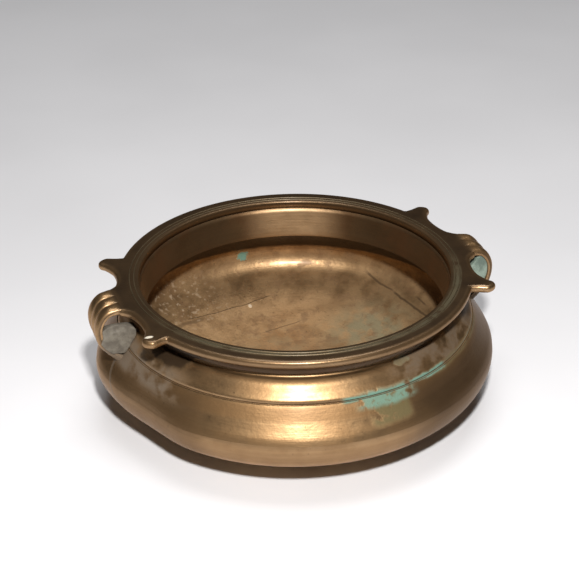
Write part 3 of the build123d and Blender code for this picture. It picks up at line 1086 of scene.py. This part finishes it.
@dataclass
class Rim:
    """Flat rim with four horn cusps and two raised rings, in millimetres."""

    sizes: FrameSizes
    mouth_r: float = 52.6
    rings: tuple[float, float] = (54.3, 55.8)
    wire: float = 0.24
    anchor_r: float = 57.0
    horn_from: float = 57.5
    rounding: float = 1.2
    tree: GeometryTree = field(default_factory=ring_tree)

    def horn_line(self, cast: HornCast) -> list[Point]:
        """Outline from the rim, round a horn and along its scallop to the loop's middle.

        Args:
            cast: Which horn, and how it came out.

        Returns:
            Radius and bearing pairs from the handle, the bearing falling.
        """
        def edge(radius: float, degrees: float) -> Point:
            """Move one outline point by how this horn came out."""
            moved = degrees + cast.shift * min(1.0, max(0.0, (degrees - 6.6) / 12))
            return (self.horn_from + (radius - self.horn_from) * cast.reach, moved)

        corner = through([(self.sizes.rim_r, 29.6 + cast.shift), edge(60.9, 29.35), edge(62.5, 29.0),
                          edge(64.4, 28.85)], 6)
        head = through([edge(64.4, 28.85), edge(65.9, 28.5), edge(67.2, 27.2), edge(67.6, 25.8), edge(66.8, 24.5),
                        edge(65.1, 23.7), edge(63.4, 22.3), edge(61.7, 20.3), edge(60.5, 17.0), edge(60.1, 13.4),
                        edge(60.6, 10.0), edge(62.0, 8.0), edge(63.3, 6.9), (63.2, 5.6), (62.6, 3.4), (62.4, 0.0)], 8)
        return corner[:-1] + head

    def outline(self) -> list[Point]:
        """The whole outer edge as plan points, anticlockwise."""
        edge: list[Point] = []
        for before, after in (HORNS[0:2], HORNS[2:4]):
            centre = HANDLE_BEARING[before.side]
            edge += [plan(radius, centre - degrees) for radius, degrees in self.horn_line(before)]
            edge += [plan(radius, centre + degrees) for radius, degrees in reversed(self.horn_line(after)[:-1])]
            following = HORNS[2] if before.side is Side.RIGHT else HORNS[0]
            start = centre + 29.6 + after.shift
            end = HANDLE_BEARING[following.side] - 29.6 - following.shift + (0 if before.side is Side.RIGHT else 360)
            steps = 200
            edge += [plan(self.sizes.rim_r, start + (end - start) * step / steps) for step in range(1, steps)]
        return edge

    def sections(self) -> tuple[list[list[tuple[float, float, float]]], list[list[float]]]:
        """One closed section for each point of the outline.

        Returns:
            The sections' points, and how far each point is rubbed bright.
        """
        edge = self.outline()
        count = len(edge)
        top, under, rho = self.sizes.rim_top, self.sizes.rim_under, self.rounding
        steps = 4
        sections, wear = [], []
        for k, (x, y) in enumerate(edge):
            before, after = Vector(edge[k - 1]), Vector(edge[(k + 1) % count])
            tangent = (after - before).normalized()
            outward = Vector((tangent.y, -tangent.x))
            here = Vector((x, y))
            bearing = here.normalized()
            inner = here - outward * rho
            edge_shine = 0.62 + 0.38 * smooth(0.4, 1.6, here.length - self.sizes.rim_r)
            points = [(*(bearing * self.mouth_r), under), (*(bearing * self.mouth_r), top - 0.5),
                      (*(bearing * (self.mouth_r + 0.15)), top - 0.15), (*(bearing * (self.mouth_r + 0.5)), top)]
            shine = [0.1, 0.2, 0.3, 0.1]
            anchor = bearing * self.anchor_r
            for t in (0.0, 0.35, 0.7, 1.0):
                points.append((*anchor.lerp(inner, t), top))
                shine.append(0.0 if t < 1 else 0.15)
            for step in range(1, steps + 1):
                turn = math.radians(90 * step / steps)
                points.append((*(inner + outward * rho * math.sin(turn)), top - rho + rho * math.cos(turn)))
                shine.append((0.15 + 0.75 * step / steps) * edge_shine)
            for step in range(steps + 1):
                turn = math.radians(90 * step / steps)
                points.append((*(inner + outward * rho * math.cos(turn)), under + rho - rho * math.sin(turn)))
                shine.append((0.9 - 0.4 * step / steps) * edge_shine)
            points.append((*(bearing * self.mouth_r).lerp(inner, 0.5), under))
            shine.append(0.0)
            sections.append(points)
            wear.append(shine)
        return sections, wear

    def build(self) -> list[tuple[bpy.types.Object, str | None, str]]:
        """Make the rim and its rings."""
        sections, wear = self.sections()
        count = len(sections[0])
        points = [point for section in sections for point in section]
        mesh = bpy.data.meshes.new("rim")
        mesh.from_pydata([Vector(point) * MM for point in points], [], ring_faces(len(sections), count, True))
        layer = mesh.attributes.new("wear", "FLOAT", "POINT")
        layer.data.foreach_set("value", [value for shine in wear for value in shine])
        face_outward(mesh)
        rim = add_object("rim", mesh)
        finish = RimBronze(Part.RIM).build()
        mesh.materials.append(finish)
        ring_finish = BronzeFinish(Part.RINGS, bright=(0.22, 0.16, 0.095, 1), brown=(0.11, 0.085, 0.048, 1),
                                   roughness=0.48, tarnish=0.8)
        seeds = bpy.data.meshes.new("ring_radii")
        seeds.from_pydata([(radius * MM, 0, 0) for radius in self.rings], [], [])
        rings = self.tree.bake("rim_rings", seeds, Turns=360, Wire=self.wire * MM,
                               Height=(self.sizes.rim_top - 0.04) * MM, Material=ring_finish.build())
        return [(rim, "rim_flange", "bronze_rim"), (rings, None, "bronze_rim")]


# ---------------------------------------------------------------- handles

@dataclass
class Loop:
    """One handle: three rounded ribs side by side, curling from the rim onto the belly."""

    side: Side
    rib_w: float = 4.8
    ribs: int = 3
    valley: float = 0.62
    across: int = 16

    def path(self) -> tuple[list[Point], list[Point]]:
        """Crest and inside curves as radius and height, point for point."""
        crest = through([(58.8, 46.3), (61.2, 46.78), (63.6, 47.05), (66.4, 46.5), (69.0, 44.1), (70.4, 40.4),
                         (70.2, 36.0), (68.6, 32.2), (63.8, 26.8)], 10)
        inside = through([(58.8, 44.6), (61.0, 44.8), (63.2, 45.05), (65.6, 44.5), (67.3, 42.6), (68.3, 39.8),
                          (68.0, 36.2), (66.5, 33.2), (61.2, 28.5)], 10)
        return crest, inside

    def sections(self) -> tuple[list[list[tuple[float, float, float]]], list[float]]:
        """Closed lobed sections along the loop, with +X outward.

        Returns:
            The sections, and for each point how much it is rubbed.
        """
        crest, inside = self.path()
        half = self.ribs * self.rib_w / 2
        made, rubbed = [], []
        for k, ((cr, cz), (ir, iz)) in enumerate(zip(crest, inside)):
            open_up = smooth(61.0, 65.5, cr) if k < len(crest) / 2 else 1.0
            deep = self.valley * (0.06 + 0.94 * open_up)
            ring = []
            total = self.ribs * self.across
            for step in range(total + 1):
                u = step / self.across
                local = 2 * (u - math.floor(min(u, self.ribs - 1e-9))) - 1
                lobe = 1 - math.sqrt(max(0.0, 1 - abs(local) ** 2.4))
                sink = deep * lobe
                ring.append((cr + (ir - cr) * sink, -half + u * self.rib_w, cz + (iz - cz) * sink))
                rubbed.append(1 - smooth(0.25, 0.85, lobe) * open_up)
            for t in (0.70, 0.82, 0.92):
                ring.append((cr + (ir - cr) * t, half, cz + (iz - cz) * t))
                rubbed.append(1.0)
            for step in range(9):
                t = step / 8
                ring.append((ir, half - 2 * half * t, iz))
                rubbed.append(0.6 if step in (0, 8) else 0.0)
            for t in (0.92, 0.82, 0.70):
                ring.append((cr + (ir - cr) * t, -half, cz + (iz - cz) * t))
                rubbed.append(1.0)
            made.append(ring)
        return made, rubbed

    def build(self) -> tuple[bpy.types.Object, str, str]:
        """Make the loop, turned to its handle's bearing."""
        sections, rubbed = self.sections()
        count = len(sections[0])
        points = [point for section in sections for point in section]
        faces: list[Sequence[int]] = list(ring_faces(len(sections), count, False))
        faces += [list(range(count))[::-1], [(len(sections) - 1) * count + k for k in range(count)]]
        turn = Matrix.Rotation(math.radians(HANDLE_BEARING[self.side]), 3, "Z")
        name = f"loop_{self.side.value}_ribs"
        mesh = closed_mesh(name, [turn @ Vector(point) for point in points], faces)
        layer = mesh.attributes.new("wear", "FLOAT", "POINT")
        layer.data.foreach_set("value", rubbed)
        mesh.materials.append(LoopBronze(Part.LOOPS, tarnish=0.2, streaking=0.3, side=self.side).build())
        return add_object(name, mesh), f"loop_{self.side.value}", "bronze_loops"


@dataclass
class Filling:
    """What stops a loop's eye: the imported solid, softened and roughened."""

    side: Side
    finish: FillingFinish
    slot: str
    voxel: float = 0.32

    def build(self) -> tuple[bpy.types.Object, str, str]:
        """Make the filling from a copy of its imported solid."""
        node = f"plug_{self.side.value}"
        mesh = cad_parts[node].data.copy()
        face_outward(mesh)
        piece = add_object(f"{node}_filling", mesh)
        remesh = piece.modifiers.new("grain", "REMESH")
        remesh.mode, remesh.voxel_size = "VOXEL", self.voxel * MM
        soften = piece.modifiers.new("soften", "SMOOTH")
        soften.factor, soften.iterations = 0.5, 8
        graph = bpy.context.evaluated_depsgraph_get()
        result = bpy.data.meshes.new_from_object(piece.evaluated_get(graph))
        piece.modifiers.clear()
        piece.data = result
        result.materials.clear()
        result.materials.append(self.finish.build())
        result.shade_smooth()
        return piece, node, self.slot


# ---------------------------------------------------------------- studio

@dataclass
class Studio:
    """Pale table, soft light and the camera. Distances in metres."""

    rim_top: float
    rim_r: float
    bearing: float = -108.2
    elevation: float = 28.345
    distance: float = 8.155
    roll: float = -0.614
    lens: float = 89.65
    shift: tuple[float, float] = (-0.00886, -0.0370)

    def direction(self, bearing: float, elevation: float) -> Vector:
        """Unit vector towards a bearing and elevation in degrees."""
        a, e = math.radians(bearing), math.radians(elevation)
        return Vector((math.cos(a) * math.cos(e), math.sin(a) * math.cos(e), math.sin(e)))

    def table(self) -> None:
        """Pale table top."""
        mesh = closed_mesh("table_top", [(x * 1500, y * 1500, z) for z in (0, -20)
                                         for x, y in ((-1, -1), (1, -1), (1, 1), (-1, 1))],
                           [(0, 1, 2, 3), (7, 6, 5, 4), (0, 4, 5, 1), (1, 5, 6, 2), (2, 6, 7, 3), (3, 7, 4, 0)])
        mesh.shade_flat()
        mesh.materials.append(TableFinish().build())
        add_object("table_top", mesh)

    def light(self, name: str, place: Vector, aim: Vector, size: float, watts: float,
              colour: tuple[float, float, float]) -> None:
        """One square area light."""
        data = bpy.data.lights.new(name, "AREA")
        data.size, data.energy, data.color = size, watts, colour
        lamp = bpy.data.objects.new(name, data)
        bpy.context.scene.collection.objects.link(lamp)
        lamp.location = place
        lamp.rotation_euler = (aim - place).to_track_quat("-Z", "Y").to_euler()

    def build(self) -> None:
        """Set the whole studio."""
        self.table()
        target = Vector((0, 0, self.rim_top))
        back = self.direction(self.bearing, self.elevation)
        data = bpy.data.cameras.new("camera")
        data.lens, data.sensor_width = self.lens, 36.0
        data.shift_x, data.shift_y = self.shift
        camera = bpy.data.objects.new("camera", data)
        bpy.context.scene.collection.objects.link(camera)
        facing = (-back).to_track_quat("-Z", "Y").to_matrix()
        camera.matrix_world = (Matrix.Translation(target + back * self.distance * self.rim_r)
                               @ (facing @ Matrix.Rotation(math.radians(self.roll), 3, "Z")).to_4x4())
        bpy.context.scene.camera = camera
        flash = target + self.direction(self.bearing + 3.0, 42.5) * 8.29 * self.rim_r
        self.light("flash", flash, target, 0.030, 3.3, (1.0, 0.98, 0.96))
        self.light("overhead", Vector((0.12, 0.20, 1.1)), target, 0.7, 6.8, (1.0, 0.99, 0.98))
        world = bpy.data.worlds.new("room")
        world.use_nodes = True
        world.node_tree.nodes["Background"].inputs["Color"].default_value = (0.035, 0.035, 0.037, 1)
        world.node_tree.nodes["Background"].inputs["Strength"].default_value = 1.0
        bpy.context.scene.world = world
        bpy.context.scene.view_settings.view_transform = "Standard"


def keep(piece: bpy.types.Object, node: str | None, slot: str) -> None:
    """Ride a finished piece on the body, hide the node it stands for and log its slot."""
    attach(piece, BODY)
    if node:
        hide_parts(node)
    log.info("%s: %d faces, slot %s", piece.name, len(piece.data.polygons), slot)


def main() -> None:
    """Build the burner and its studio."""
    logging.basicConfig(level=logging.INFO, format="%(name)s %(message)s")
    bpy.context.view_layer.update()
    sizes = FrameSizes.read()
    made = Bowl(sizes).build() + Rim(sizes).build()
    made += [Loop(side).build() for side in Side]
    made.append(Filling(Side.LEFT, FillingFinish("grey_filling", (0.175, 0.155, 0.12, 1),
                                                 (0.10, 0.085, 0.065, 1), False), "grey_filling").build())
    made.append(Filling(Side.RIGHT, FillingFinish("verdigris_filling", (0.27, 0.34, 0.28, 1),
                                                  (0.12, 0.16, 0.13, 1), True), "verdigris_filling").build())
    for piece, node, slot in made:
        keep(piece, node, slot)
    Studio(sizes.rim_top * MM, sizes.rim_r * MM).build()


if __name__ == "__main__":
    main()
